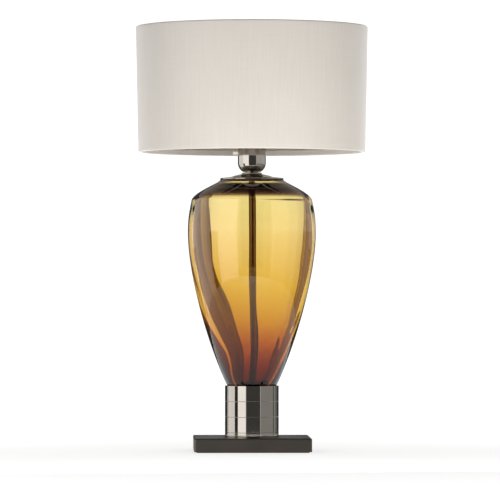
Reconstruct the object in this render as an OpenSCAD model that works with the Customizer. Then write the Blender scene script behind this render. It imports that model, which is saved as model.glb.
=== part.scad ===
// Table lamp: square metal plinth, stacked collar, blown glass vase and a fabric drum shade.
// Millimetres, +Z up, origin at the centre of the underside, front towards -Y.

/* [Plinth] */
// Side of the square plinth plate
plate_w = 204; // [190:1:220]
// Height of the plate's top face above the table
plate_top_z = 25; // [23:0.5:28]
// Radius of the plate's upright corners
plate_corner_r = 4; // [4:0.5:16]
// Width and height of the bevel round the plate's top edge
plate_bevel = 1.5; // [0.5:0.25:3.5]
// Thickness of the felt pad under the plate
felt_t = 1.5; // [1:0.25:2.5]
// Radius of the hole through the cord inlet bush
inlet_hole_r = 2.8; // [2.5:0.1:3.2]

/* [Collar] */
// Outer radius of the stacked collar
collar_r = 47; // [46:0.5:50]
// Height of the short ring at the collar's foot
collar_foot_h = 7.5; // [6:0.25:9]
// Height of each of the three tall collar rings
collar_ring_h = 27.25; // [26:0.25:29]
// Edge chamfer that makes the grooves between the rings
ring_chamfer = 0.6; // [0.3:0.1:1]

/* [Vase] */
// Radius of the glass where it stands in the collar
vase_foot_r = 39; // [36:0.5:41]
// Radius of the glass at its widest
vase_belly_r = 112; // [105:1:118]
// Radius of the glass where the shoulder turns in
vase_shoulder_r = 105.7; // [100:0.1:110]
// Outer radius of the glass mouth
vase_mouth_r = 56; // [55:0.5:58]
// Height of the glass from foot to mouth
vase_h = 367.5; // [350:0.5:380]
// Wall thickness of the glass
vase_wall = 4; // [3:0.25:5]
// Thickness of the glass floor
vase_floor_t = 8; // [6:0.5:12]

/* [Lampholder] */
// Outer radius of the metal cup round the lampholder
cup_r = 24.6; // [24.2:0.1:25.5]
// Height of the metal cup
cup_h = 42; // [41.5:0.5:42]
// Radius of the push-through switch rod
switch_r = 3.25; // [3:0.05:3.5]
// How far the switch rod slides from off to on
switch_travel = 8; // [6:0.5:9]
// Angle the switch rod is turned about the lamp's axis, 0 is left to right
switch_turn = 0; // [0:5:30]

/* [Bulb] */
// Radius of the bulb at its widest
globe_r = 30; // [27:0.5:32]
// Length of the bulb from its contact to its tip
bulb_len = 107.4; // [100:0.1:112]

/* [Shade] */
// Diameter of the drum shade at its lower rim
shade_bottom_d = 397; // [380:1:400]
// Diameter of the drum shade at its upper rim
shade_top_d = 406; // [401:1:412]
// Height of the drum shade
shade_h = 220; // [200:1:230]
// Thickness of the fabric cover
cover_t = 0.9; // [0.6:0.1:1.2]
// Thickness of the stiff liner behind the fabric
liner_t = 0.7; // [0.5:0.1:0.9]
// Radius of the wire in the two rim rings
rim_wire_r = 1.75; // [1.5:0.05:2]
// Radius of the three carrier arms
arm_r = 1.6; // [1.3:0.1:2]

/* [Hidden] */
$fn = 96;

// Gaps: between metal parts that slip over each other, and between parts that move past each other
slip = 0.1;
running = 0.08;
clear = 0.2;

// Tie tube, an M10 lamp tube that clamps everything from the plate to the cup
tube_r = 5;
tube_bore_r = 3.5;
tube_hole_r = 5.15;
sleeve_r = 6;

// Plinth
plate_half = plate_w / 2;
recess_r = 26;
recess_top_z = 12;
washer_r = 15;
washer_t = 1.6;
nut_t = 6;
nut_af = 17;
tube_bottom_z = 4;
bush_shank_r = 5;
bush_flange_r = 7;
bush_flange_t = 1.8;
bush_len = 14;
inlet_z = 9;
pad_inset = 4;

// Collar: each ring's upstand enters a socket in the ring above
collar_bore_r = 38;
upstand_r = 42;
upstand_h = 2;
foot_top_z = plate_top_z + collar_foot_h;
lower_top_z = foot_top_z + collar_ring_h;
middle_top_z = lower_top_z + collar_ring_h;
collar_top_z = middle_top_z + collar_ring_h;
seat_recess_r = 44.5;
seat_z = collar_top_z - 16.25;
seat_t = 6;
gasket_t = 2;
glass_hole_r = 7;

// Vase
vase_z = seat_z + seat_t + gasket_t;
vase_top_z = vase_z + vase_h;
belly_z = vase_z + vase_h * 0.748;
shoulder_z = vase_z + vase_h * 0.9035;
mouth_bore_r = vase_mouth_r - vase_wall;
// Lean of the wall where the side meets the shoulder, radius lost per millimetre of height
shoulder_lean = 0.18;
// Pulls that shape the curves of the glass at its foot, belly, shoulder and mouth
foot_pull = [41, 83];
belly_pull_down = 67;
belly_pull_up = 30;
shoulder_pull_down = 20;
shoulder_pull_up = 13.7;
mouth_pull = [5, -5.5];
// Space kept free of wall points beside the mouth bore and above the glass floor
bore_margin = 2;
floor_margin = 3;

// Cap, bead and spacer
cap_gasket_t = 0.5;
cap_z = vase_top_z + cap_gasket_t;
cap_r = 55.5;
cap_rim_t = 3.6;
cap_crest_r = 19;
cap_crest_h = 10.4;
// Pulls of the dome's curve: radius, and height above the rim
dome_pull_out = [40, 1.6];
dome_pull_in = [30, 5];
cap_spigot_t = 3;
cap_spigot_h = 8;
bead_clear = 0.3;
bead_seat_h = 8;
bead_r = 18;
bead_h = 5;
bead_z = cap_z + bead_seat_h;
spacer_r = 11.5;
spacer_t = 1;

// Lampholder heights, all from the cup's floor
cup_z = bead_z + bead_h + spacer_t;
cup_wall = 1.6;
cup_floor_r = 15;
cup_bend_h = 16;
cup_top_z = cup_z + cup_h;
// The arc that rounds the cup's lower corner, tangent to its straight side
bend_drop = cup_r - cup_floor_r;
bend_r = (bend_drop * bend_drop + cup_bend_h * cup_bend_h) / (2 * bend_drop);
bend_centre = [cup_r - bend_r, cup_z + cup_bend_h];
bend_start = -asin(cup_bend_h / bend_r);
inner_bend_start = -asin((cup_bend_h - cup_wall) / (bend_r - cup_wall));
rod_hole_clear = 0.3;
cup_nut_t = 4;
cup_nut_af = 14;
holder_z = cup_z + cup_wall + cup_nut_t + slip;
tube_top_z = holder_z + 5.4;
holder_r = 19.5;
holder_bore_r = 15.5;
holder_floor_t = 10;
skirt_z = cup_top_z - 2;
spigot_r = 17.5;
spigot_h = 4;
block_flange_t = 2;
block_depth = 5.5;
block_top_z = skirt_z + spigot_h + block_flange_t;
block_r = 15.3;
switch_z = cup_z + 33.5;
terminal_y = 9;
leaf_y = 5;
leaf_t = 0.6;
shell_bore_r = 13.28;
shell_t = 0.6;
shell_h = 20;
skirt_r = 20;
skirt_flange_r = 22.6;
skirt_bore_r = 15;
skirt_top_z = skirt_z + 28;

// Switch rod, which stands out at its left end when off, and the brass bridge on it
rod_stub = 0.6;
rod_left_x = -(cup_r + rod_stub + switch_travel);
rod_right_x = 25;
rod_chamfer = 0.8;
bridge_x = -11;
bridge_w = 6;
bridge_r = 4.7;

// Shade fitting
carrier_ring_r = 27;
carrier_ring_t = 2;
carrier_z = cup_top_z + clear;
shade_nut_z = carrier_z + carrier_ring_t + clear;
shade_nut_h = 7.6;
shade_nut_r = 26;
nut_grip_count = 24;

// Shade
shade_z = cup_top_z - 7.5;
shade_top_z = shade_z + shade_h;
shade_bottom_r = shade_bottom_d / 2;
shade_top_r = shade_top_d / 2;
skin_gap = 0.08;
hem_t = 0.6;
hem_h = 10;
hem_w = 5;
hem_gap = 0.12;
arm_angles = [90, 210, 330];
weld = 0.4;
// Both skins with their gaps, and the wire's own gap behind them
skins_t = cover_t + liner_t + 2 * skin_gap;
wire_gap = 0.2;
// Height of the top wire's widest line below the shade's rim
top_wire_drop = 4;
// Each arm runs from the carrier ring out to the lower wire ring
wire_path_r = shade_bottom_r - skins_t - rim_wire_r - wire_gap;
bottom_wire_z = shade_z + hem_t + rim_wire_r + skin_gap;
arm_start = [carrier_ring_r - weld, carrier_z + carrier_ring_t / 2];
arm_end = [wire_path_r - rim_wire_r + weld, bottom_wire_z];
arm_len = norm(arm_end - arm_start);
arm_slope = atan2(arm_end[1] - arm_start[1], arm_end[0] - arm_start[0]);

// Bulb
bulb_z = block_top_z + 1.6;
bulb_top_z = bulb_z + bulb_len;
bulb_cap_r = 13.2;
contact_r = 4.8;
contact_t = 0.9;
insulator_z = bulb_z + contact_t + clear;
insulator_h = 3.4;
bulb_cap_z = insulator_z + insulator_h;
bulb_cap_h = 20;
globe_wall = 0.8;
globe_z = bulb_top_z - globe_r;
neck_r = 12.7;
filament_count = 4;
filament_len = 32;

// Points along a cubic curve through p[0] and p[3], pulled towards p[1] and p[2]
function curve_point(p, t) =
    pow(1 - t, 3) * p[0] + 3 * t * pow(1 - t, 2) * p[1]
    + 3 * t * t * (1 - t) * p[2] + pow(t, 3) * p[3];
function curve(p, steps) = [for (i = [0:steps]) curve_point(p, i / steps)];

// Points along a circular arc
function arc(centre, r, from, to, steps) = [
    for (i = [0:steps])
        let (a = from + (to - from) * i / steps) centre + r * [cos(a), sin(a)]
];

// An outline moved inwards by a wall thickness
function inset(points, wall) = [
    for (i = [0:len(points) - 1])
        let (
            before = points[max(i - 1, 0)],
            after = points[min(i + 1, len(points) - 1)],
            along = (after - before) / norm(after - before)
        ) points[i] + wall * [-along[1], along[0]]
];

// The same points from last to first
function reversed(points) = [for (i = [len(points) - 1:-1:0]) points[i]];

// Outer radius of the shade at a height
function shade_r(z) =
    shade_bottom_r + (shade_top_r - shade_bottom_r) * (z - shade_z) / shade_h;

module turned(points) {
    rotate_extrude() polygon(points);
}

module tube(outer_r, bore_r, z, h) {
    translate([0, 0, z]) difference() {
        cylinder(r = outer_r, h = h);
        translate([0, 0, -1]) cylinder(r = bore_r, h = h + 2);
    }
}

module hex_nut(across_flats, bore_r, z, h) {
    translate([0, 0, z]) difference() {
        cylinder(d = across_flats / cos(30), h = h, $fn = 6);
        translate([0, 0, -1]) cylinder(r = bore_r, h = h + 2);
    }
}

// A hole or pin along Y, from y0 to y1 at height z
module along_y(r, y0, y1, z) {
    translate([0, y0, z]) rotate([-90, 0, 0]) cylinder(r = r, h = y1 - y0);
}

// A hole or pin along the switch rod's direction, from x0 to x1
module along_switch(r, x0, x1) {
    rotate([0, 0, switch_turn])
        translate([x0, 0, switch_z]) rotate([0, 90, 0]) cylinder(r = r, h = x1 - x0);
}

// ---- Plinth ----

// A square slab with round upright corners and a bevelled top edge
module bevelled_slab(half, corner, bevel, z0, z1) {
    flat = half - corner;
    for (turn = [0, 90])
        rotate([0, 0, turn]) rotate([90, 0, 90])
            linear_extrude(height = 2 * flat, center = true)
                polygon([
                    [-half, z0], [half, z0], [half, z1 - bevel],
                    [half - bevel, z1], [bevel - half, z1], [-half, z1 - bevel]
                ]);
    for (x = [-flat, flat], y = [-flat, flat]) {
        translate([x, y, z0]) cylinder(r = corner, h = z1 - bevel - z0);
        translate([x, y, z1 - bevel]) cylinder(r1 = corner, r2 = corner - bevel, h = bevel);
    }
}

module felt_pad() {
    flat = plate_half - pad_inset - plate_corner_r;
    color("#3a3835")
        linear_extrude(height = felt_t) {
            square([2 * (flat + plate_corner_r), 2 * flat], center = true);
            square([2 * flat, 2 * (flat + plate_corner_r)], center = true);
            for (x = [-flat, flat], y = [-flat, flat])
                translate([x, y]) circle(r = plate_corner_r);
        }
}

module base_plate() {
    color("#4a4642")
        difference() {
            bevelled_slab(plate_half, plate_corner_r, plate_bevel, felt_t, plate_top_z);
            translate([0, 0, felt_t - 1])
                cylinder(r = recess_r, h = recess_top_z - felt_t + 1);
            cylinder(r = tube_hole_r, h = plate_top_z + 1);
            along_y(bush_shank_r, recess_r - 2, plate_half + 1, inlet_z);
        }
}

module inlet_bush() {
    color("#1c1c1c")
        difference() {
            union() {
                along_y(bush_shank_r - skin_gap, plate_half - bush_len, plate_half, inlet_z);
                along_y(bush_flange_r, plate_half, plate_half + bush_flange_t, inlet_z);
            }
            along_y(inlet_hole_r, plate_half - bush_len - 1, plate_half + 4, inlet_z);
        }
}

module tube_bush() {
    color("#e8e4da")
        difference() {
            union() {
                translate([0, 0, tube_bottom_z])
                    cylinder(r = tube_bore_r - skin_gap, h = 8);
                translate([0, 0, tube_bottom_z - 1.2]) cylinder(r = tube_r, h = 1.2);
            }
            cylinder(r = tube_bore_r - 0.8, h = 20);
        }
}

module tie_nut() {
    color("#b9b6ae")
        hex_nut(nut_af, tube_r + skin_gap, recess_top_z - washer_t - nut_t, nut_t);
}

module tie_washer() {
    color("#b9b6ae") tube(washer_r, tube_hole_r, recess_top_z - washer_t, washer_t);
}

// ---- Collar ----

// The outside of a ring from its lower to its upper edge
function ring_outside(z0, z1) = [
    [collar_r - ring_chamfer, z0], [collar_r, z0 + ring_chamfer],
    [collar_r, z1 - ring_chamfer], [collar_r - ring_chamfer, z1]
];

// The socket under a ring that takes the upstand of the ring below
function ring_socket(z0) = [
    [collar_bore_r, z0 + upstand_h + slip],
    [upstand_r + slip, z0 + upstand_h + slip], [upstand_r + slip, z0]
];

// The upstand on top of a ring
function ring_upstand(z1) = [
    [upstand_r, z1], [upstand_r, z1 + upstand_h], [collar_bore_r, z1 + upstand_h]
];

module collar_foot_ring() {
    color("#2f2c2a")
        turned(concat(
            ring_outside(plate_top_z, foot_top_z), ring_upstand(foot_top_z),
            [[collar_bore_r, plate_top_z]]
        ));
}

module collar_ring(z0) {
    color("#2f2c2a")
        turned(concat(
            ring_outside(z0, z0 + collar_ring_h), ring_upstand(z0 + collar_ring_h),
            ring_socket(z0)
        ));
}

module collar_lower_ring() {
    collar_ring(foot_top_z);
}

module collar_middle_ring() {
    collar_ring(lower_top_z);
}

module collar_upper_ring() {
    color("#2f2c2a")
        turned(concat(
            ring_outside(middle_top_z, collar_top_z),
            [[seat_recess_r, collar_top_z], [seat_recess_r, seat_z], [collar_bore_r, seat_z]],
            ring_socket(middle_top_z)
        ));
}

module vase_seat() {
    color("#8a8780") tube(seat_recess_r - 0.2, tube_hole_r, seat_z, seat_t);
}

module seat_gasket() {
    color("#241f1d") tube(vase_foot_r + 2, glass_hole_r, seat_z + seat_t, gasket_t);
}

// ---- Vase ----

// Foot to belly, belly to shoulder, shoulder to mouth
function vase_outside() = let (
    foot = [vase_foot_r, vase_z],
    belly = [vase_belly_r, belly_z],
    shoulder = [vase_shoulder_r, shoulder_z],
    mouth = [vase_mouth_r, vase_top_z],
    lean = [-shoulder_lean, 1]
) concat(
    curve([foot, foot + foot_pull, belly - [0, belly_pull_down], belly], 26),
    [for (p = curve([
        belly, belly + [0, belly_pull_up], shoulder - shoulder_pull_down * lean, shoulder
    ], 8)) if (p != belly) p],
    [for (p = curve([
        shoulder, shoulder + shoulder_pull_up * lean, mouth + mouth_pull, mouth
    ], 12)) if (p != shoulder) p]
);

module vase() {
    outside = vase_outside();
    inner_floor_z = vase_z + vase_floor_t;
    inside = [
        for (p = inset(outside, vase_wall))
            if (p[1] > inner_floor_z + floor_margin
                && (p[1] < shoulder_z || p[0] > mouth_bore_r + bore_margin)) p
    ];
    color("#d9a04e", 0.6)
        turned(concat(
            [[glass_hole_r, vase_z]], outside,
            [[mouth_bore_r, vase_top_z], [mouth_bore_r, vase_top_z - vase_wall]],
            reversed(inside),
            [[vase_foot_r - 1, inner_floor_z], [glass_hole_r, inner_floor_z]]
        ));
}

module cap_gasket() {
    color("#241f1d")
        tube(vase_mouth_r - 0.3, mouth_bore_r, vase_top_z, cap_gasket_t);
}

module top_cap() {
    rim_round = cap_rim_t / 2;
    rim_z = cap_z + rim_round;
    spigot_outer = mouth_bore_r - 0.5;
    color("#2f2c2a")
        turned(concat(
            [
                [tube_hole_r, cap_z], [spigot_outer - cap_spigot_t, cap_z],
                [spigot_outer - cap_spigot_t, cap_z - cap_spigot_h],
                [spigot_outer, cap_z - cap_spigot_h], [spigot_outer, cap_z]
            ],
            arc([cap_r - rim_round, rim_z], rim_round, -90, 60, 8),
            curve([
                [cap_r - rim_round, cap_z + cap_rim_t],
                dome_pull_out + [0, cap_z + cap_rim_t], dome_pull_in + [0, cap_z + cap_rim_t],
                [cap_crest_r, cap_z + cap_crest_h]
            ], 12),
            [
                [bead_r + bead_clear, cap_z + cap_crest_h], [bead_r + bead_clear, bead_z],
                [tube_hole_r, bead_z]
            ]
        ));
}

module rod_sleeve() {
    color("#6b5138")
        tube(sleeve_r, tube_r + slip, seat_z + seat_t, cap_z - seat_z - seat_t);
}

module tie_tube() {
    color("#8f8a80") tube(tube_r, tube_bore_r, tube_bottom_z, tube_top_z - tube_bottom_z);
}

module neck_bead() {
    edge_r = bead_h / 2;
    color("#2f2c2a")
        turned(concat(
            [[tube_hole_r, bead_z]],
            arc([bead_r - edge_r, bead_z + edge_r], edge_r, -90, 90, 12),
            [[tube_hole_r, bead_z + bead_h]]
        ));
}

module neck_spacer() {
    color("#2f2c2a") tube(spacer_r, tube_hole_r, bead_z + bead_h, spacer_t);
}

// ---- Lampholder ----

module holder_cup() {
    color("#2f2c2a")
        difference() {
            turned(concat(
                [[tube_hole_r, cup_z]],
                arc(bend_centre, bend_r, bend_start, 0, 14),
                [[cup_r, cup_top_z], [cup_r - cup_wall, cup_top_z]],
                arc(bend_centre, bend_r - cup_wall, 0, inner_bend_start, 14),
                [[tube_hole_r, cup_z + cup_wall]]
            ));
            along_switch(switch_r + rod_hole_clear, -cup_r - 2, cup_r + 2);
        }
}

module cup_nut() {
    color("#b9b6ae") hex_nut(cup_nut_af, tube_r + skin_gap, cup_z + cup_wall, cup_nut_t);
}

module holder_base() {
    bore_z = holder_z + holder_floor_t;
    color("#26231f")
        difference() {
            turned([
                [tube_r + skin_gap, holder_z], [holder_r - 3.5, holder_z],
                [holder_r, holder_z + 4], [holder_r, skirt_z],
                [spigot_r, skirt_z], [spigot_r, skirt_z + spigot_h],
                [holder_bore_r, skirt_z + spigot_h], [holder_bore_r, bore_z],
                [tube_bore_r, bore_z], [tube_bore_r, tube_top_z + slip],
                [tube_r + skin_gap, tube_top_z + slip]
            ]);
            along_switch(switch_r + skin_gap, -holder_r - 2, holder_r + 2);
        }
}

module contact_block() {
    color("#e9e4d8")
        difference() {
            turned([
                [0, block_top_z - block_flange_t - block_depth],
                [block_r, block_top_z - block_flange_t - block_depth],
                [block_r, block_top_z - block_flange_t],
                [spigot_r - slip, block_top_z - block_flange_t],
                [spigot_r - slip, block_top_z], [0, block_top_z]
            ]);
            for (y = [-terminal_y, 0, terminal_y])
                translate([0, y, block_top_z - 20]) cylinder(r = 1.6, h = 30, $fn = 32);
        }
}

module terminal_screws() {
    under = block_top_z - block_flange_t - block_depth;
    color("#c9a14a")
        for (y = [-terminal_y, terminal_y]) translate([0, y, under]) {
            cylinder(r = 1.5, h = 6.5, $fn = 32);
            difference() {
                translate([0, 0, -1.9]) cylinder(r = 2.8, h = 1.9, $fn = 32);
                translate([-4, -0.4, -2.5]) cube([8, 0.8, 1.4]);
            }
        }
}

module centre_contact() {
    under = block_top_z - block_flange_t - block_depth;
    color("#c9a14a") {
        translate([0, 0, under]) cylinder(r = 1.5, h = block_top_z - under, $fn = 32);
        translate([0, 2, block_top_z]) rotate([90, 0, 0])
            linear_extrude(height = 4)
                polygon([
                    [-5, 0], [3, 0], [7, 0.9], [7, 1.4], [2.8, 0.6], [-5, 0.6]
                ]);
    }
}

module switch_contacts() {
    under = block_top_z - block_flange_t - block_depth;
    leaf_w = 5;
    leaf_h = 10;
    color("#c9a14a")
        rotate([0, 0, switch_turn])
            for (y = [leaf_y, -leaf_y - leaf_t])
                translate([-leaf_w / 2, y, under - leaf_h]) cube([leaf_w, leaf_t, leaf_h]);
}

module screw_shell() {
    outer = shell_bore_r + shell_t;
    color("#c9a14a")
        turned([
            [9.5, block_top_z], [outer, block_top_z], [outer, block_top_z + shell_h],
            [shell_bore_r, block_top_z + shell_h], [shell_bore_r, block_top_z + shell_t],
            [9.5, block_top_z + shell_t]
        ]);
}

module holder_skirt() {
    lip_z = block_top_z + clear;
    color("#26231f")
        turned([
            [spigot_r + slip, skirt_z], [skirt_flange_r, skirt_z],
            [skirt_flange_r, cup_top_z], [skirt_r, cup_top_z], [skirt_r, skirt_top_z - 1],
            [skirt_r - 1, skirt_top_z], [skirt_bore_r, skirt_top_z], [skirt_bore_r, lip_z],
            [spigot_r + slip, lip_z]
        ]);
}

// ---- Switch rod, shown at off: its left end stands out ----

module switch_rod() {
    color("#efe6d6")
        rotate([0, 0, switch_turn]) translate([0, 0, switch_z]) rotate([0, 90, 0])
            turned([
                [0, rod_left_x], [switch_r - rod_chamfer, rod_left_x],
                [switch_r, rod_left_x + rod_chamfer], [switch_r, rod_right_x - rod_chamfer],
                [switch_r - rod_chamfer, rod_right_x], [0, rod_right_x]
            ]);
}

module switch_bridge() {
    color("#c9a14a")
        difference() {
            along_switch(bridge_r, bridge_x, bridge_x + bridge_w);
            along_switch(switch_r + skin_gap, bridge_x - 1, bridge_x + bridge_w + 1);
        }
}

// ---- Shade fitting ----

module shade_nut() {
    color("#efe6d6")
        difference() {
            tube(shade_nut_r, skirt_r + running, shade_nut_z, shade_nut_h);
            for (i = [0:nut_grip_count - 1])
                rotate([0, 0, i * 360 / nut_grip_count])
                    translate([shade_nut_r + 0.5, 0, shade_nut_z + 1.5])
                        cylinder(r = 1.2, h = shade_nut_h, $fn = 16);
        }
}

module carrier_ring() {
    color("#efece6") tube(carrier_ring_r, skirt_r + running, carrier_z, carrier_ring_t);
}

// A place on each arm, with Z running outwards along it
module on_each_arm() {
    for (a = arm_angles)
        rotate([0, 0, a]) translate([arm_start[0], 0, arm_start[1]])
            rotate([0, 90 - arm_slope, 0]) children();
}

module carrier_arms() {
    color("#efece6") on_each_arm() cylinder(r = arm_r, h = arm_len, $fn = 32);
}

module rim_wire(path_r, z) {
    color("#efece6")
        translate([0, 0, z]) rotate_extrude() translate([path_r, 0]) circle(r = rim_wire_r, $fn = 24);
}

module bottom_wire() {
    rim_wire(wire_path_r, bottom_wire_z);
}

module top_wire() {
    rim_wire(
        shade_r(shade_top_z - top_wire_drop) - skins_t - rim_wire_r - wire_gap,
        shade_top_z - hem_t - rim_wire_r - skin_gap
    );
}

// A conical skin between two distances inside the shade's outer face
module shade_skin(outer_inset, t) {
    turned([
        [shade_bottom_r - outer_inset, shade_z],
        [shade_top_r - outer_inset, shade_top_z],
        [shade_top_r - outer_inset - t, shade_top_z],
        [shade_bottom_r - outer_inset - t, shade_z]
    ]);
}

module shade_cover() {
    color("#e9e2d8") shade_skin(0, cover_t);
}

module shade_liner() {
    color("#f4f1ea") shade_skin(cover_t + skin_gap, liner_t);
}

// The fabric turned over a rim wire: a floor under the wire and a lip behind it
module rim_hem(rim_z, up) {
    inner_face = shade_r(rim_z) - skins_t - hem_gap;
    lip_r = inner_face - hem_w;
    turned([
        [lip_r, rim_z], [inner_face, rim_z], [inner_face, rim_z + up * hem_t],
        [lip_r + hem_t, rim_z + up * hem_t], [lip_r + hem_t, rim_z + up * hem_h],
        [lip_r, rim_z + up * hem_h]
    ]);
}

module bottom_hem() {
    color("#e9e2d8")
        difference() {
            rim_hem(shade_z, 1);
            on_each_arm() translate([0, 0, arm_len - 10]) cylinder(r = arm_r + 0.3, h = 10, $fn = 32);
        }
}

module top_hem() {
    color("#e9e2d8") rim_hem(shade_top_z, -1);
}

// ---- Bulb ----

module bulb_contact() {
    color("#c8c6c0") translate([0, 0, bulb_z]) cylinder(r = contact_r, h = contact_t);
}

module bulb_insulator() {
    color("#1b1b1b")
        translate([0, 0, insulator_z])
            cylinder(r1 = contact_r + 1.6, r2 = bulb_cap_r - 0.6, h = insulator_h);
}

module bulb_cap() {
    wall = 0.4;
    color("#c8c6c0")
        turned([
            [0, bulb_cap_z], [bulb_cap_r, bulb_cap_z], [bulb_cap_r, bulb_cap_z + bulb_cap_h],
            [bulb_cap_r - wall, bulb_cap_z + bulb_cap_h], [bulb_cap_r - wall, bulb_cap_z + wall],
            [0, bulb_cap_z + wall]
        ]);
}

module bulb_globe() {
    neck_z = bulb_cap_z + bulb_cap_h - 5;
    join_angle = -42;
    join = [globe_r * cos(join_angle), globe_z + globe_r * sin(join_angle)];
    tangent = [sin(join_angle), -cos(join_angle)];
    neck_top = [neck_r, neck_z + 7];
    neck_curve = curve([neck_top, neck_top + [0, 12], join + 10 * tangent, join], 10);
    outside = concat(
        [[neck_r, neck_z]], neck_curve,
        [for (a = [join_angle + 6:6:90]) [globe_r * cos(a), globe_z + globe_r * sin(a)]]
    );
    shell = [
        for (p = inset(outside, globe_wall)) [max(p[0], 0), p[1]]
    ];
    color("#f6f4ee", 0.5)
        turned(concat(
            [for (p = outside) [max(p[0], 0), p[1]]],
            [[0, bulb_top_z - globe_wall]],
            reversed([for (p = shell) if (p[0] > 0.5) p])
        ));
}

module bulb_stem() {
    stem_z = bulb_cap_z + bulb_cap_h - 4;
    color("#f6f4ee", 0.5)
        turned([
            [0, stem_z], [neck_r - globe_wall - 0.6, stem_z],
            [neck_r - globe_wall - 0.6, stem_z + 1], [4, stem_z + 9], [3, stem_z + 26],
            [0, stem_z + 26]
        ]);
}

module bulb_filament() {
    start_z = bulb_cap_z + bulb_cap_h + 16;
    color("#e7b64c")
        for (i = [0:filament_count - 1])
            rotate([0, 0, 45 + i * 360 / filament_count])
                translate([8, 0, start_z]) rotate([0, -4, 0])
                    cylinder(r = 1, h = filament_len, $fn = 16);
}

felt_pad();
base_plate();
inlet_bush();
tube_bush();
tie_nut();
tie_washer();
collar_foot_ring();
collar_lower_ring();
collar_middle_ring();
collar_upper_ring();
vase_seat();
seat_gasket();
vase();
cap_gasket();
top_cap();
rod_sleeve();
tie_tube();
neck_bead();
neck_spacer();
holder_cup();
cup_nut();
holder_base();
contact_block();
terminal_screws();
centre_contact();
switch_contacts();
screw_shell();
holder_skirt();
switch_rod();
switch_bridge();
shade_nut();
carrier_ring();
carrier_arms();
bottom_wire();
top_wire();
shade_liner();
shade_cover();
bottom_hem();
top_hem();
bulb_contact();
bulb_insulator();
bulb_cap();
bulb_globe();
bulb_stem();
bulb_filament();
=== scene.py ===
import math

import bmesh
import bpy
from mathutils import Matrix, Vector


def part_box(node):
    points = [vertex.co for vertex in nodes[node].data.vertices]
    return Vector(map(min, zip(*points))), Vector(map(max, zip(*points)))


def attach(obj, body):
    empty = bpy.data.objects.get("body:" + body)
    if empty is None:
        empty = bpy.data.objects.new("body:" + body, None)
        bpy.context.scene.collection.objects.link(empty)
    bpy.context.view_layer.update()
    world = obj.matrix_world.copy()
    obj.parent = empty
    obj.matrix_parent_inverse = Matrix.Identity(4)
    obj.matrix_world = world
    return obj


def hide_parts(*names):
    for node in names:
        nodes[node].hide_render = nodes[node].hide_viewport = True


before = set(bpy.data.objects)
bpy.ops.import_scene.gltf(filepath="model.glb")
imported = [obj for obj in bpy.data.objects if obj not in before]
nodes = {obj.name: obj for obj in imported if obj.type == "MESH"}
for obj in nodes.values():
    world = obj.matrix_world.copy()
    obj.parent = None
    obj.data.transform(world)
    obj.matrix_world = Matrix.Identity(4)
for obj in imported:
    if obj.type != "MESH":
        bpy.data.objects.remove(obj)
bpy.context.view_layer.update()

mm = 0.001

# ---- Camera ----
# A long lens a little over seven metres away, level with the lower part of the vase,
# so that the drum's rims curve gently and the plinth is seen almost edge on.

camera_distance = 7.35
camera_height = 0.264
camera_turn = math.radians(-1.27)
frame_width_m = 0.875
frame_centre_height = 0.3515
lamp_offset_m = 0.0032


def add_object(name, data):
    """A new object in the scene that holds the given data."""
    made = bpy.data.objects.new(name, data)
    bpy.context.scene.collection.objects.link(made)
    return made


camera_data = bpy.data.cameras.new("camera")
camera_data.sensor_width = 36
camera_data.lens = camera_data.sensor_width * camera_distance / frame_width_m
camera_data.clip_end = 100
camera = add_object("camera", camera_data)
camera.location = (
    camera_distance * math.sin(camera_turn), -camera_distance * math.cos(camera_turn),
    camera_height)
aim_up = math.atan2(frame_centre_height - camera_height, camera_distance)
aim_across = math.atan2(lamp_offset_m, camera_distance)
camera.rotation_euler = (math.pi / 2 + aim_up, 0, camera_turn + aim_across)
bpy.context.scene.camera = camera
bpy.context.scene.view_settings.view_transform = "Standard"

# ---- Floor and backdrop ----
# A white paper sweep: flat under the lamp and rising in one curve far behind it.
# It is lit from behind as well, so it stays clean white up to the plinth.


def linear(hex_colour):
    """An sRGB colour such as "e8e2d6" as linear red, green, blue and alpha."""
    values = [int(hex_colour[i:i + 2], 16) / 255 for i in (0, 2, 4)]
    return [v / 12.92 if v <= 0.04045 else ((v + 0.055) / 1.055) ** 2.4 for v in values] + [1]


def add_node(tree, kind, settings=None, inputs=None):
    """Adds a node. Inputs are values, or the output sockets of other nodes to link from."""
    node = tree.nodes.new(kind)
    for name, value in (settings or {}).items():
        setattr(node, name, value)
    for name, value in (inputs or {}).items():
        socket = node.inputs[name]
        if isinstance(value, bpy.types.NodeSocket):
            tree.links.new(value, socket)
        else:
            socket.default_value = value
    return node


def new_material(name):
    """An empty node material and its tree."""
    material = bpy.data.materials.new(name)
    material.use_nodes = True
    material.node_tree.nodes.clear()
    return material, material.node_tree


def finish_material(tree, shader, volume=None):
    """Puts a shader on the material's surface, and a volume inside it where there is one."""
    output = add_node(tree, "ShaderNodeOutputMaterial", inputs={"Surface": shader.outputs[0]})
    if volume:
        tree.links.new(volume.outputs[0], output.inputs["Volume"])


def mesh_piece(name, vertices, faces, material):
    """A mesh object of the given points and faces, smooth shaded, at the origin."""
    mesh = bpy.data.meshes.new(name)
    mesh.from_pydata(vertices, [], faces)
    mesh.validate()
    mesh.shade_smooth()
    mesh.materials.append(material)
    return add_object(name, mesh)


sweep_paper, tree = new_material("sweep_paper")
shader = add_node(tree, "ShaderNodeBsdfPrincipled", inputs={
    "Base Color": linear("b0afae"), "Roughness": 0.9, "Specular IOR Level": 0.1,
    "Emission Color": linear("ffffff"), "Emission Strength": 0.66})
# The paper is clear from below, so that the plinth's underside can be looked at
side = add_node(tree, "ShaderNodeNewGeometry")
clear_side = add_node(tree, "ShaderNodeBsdfTransparent")
one_sided = add_node(tree, "ShaderNodeMixShader", inputs={
    "Fac": side.outputs["Backfacing"], 1: shader.outputs[0], 2: clear_side.outputs[0]})
finish_material(tree, one_sided)

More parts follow.
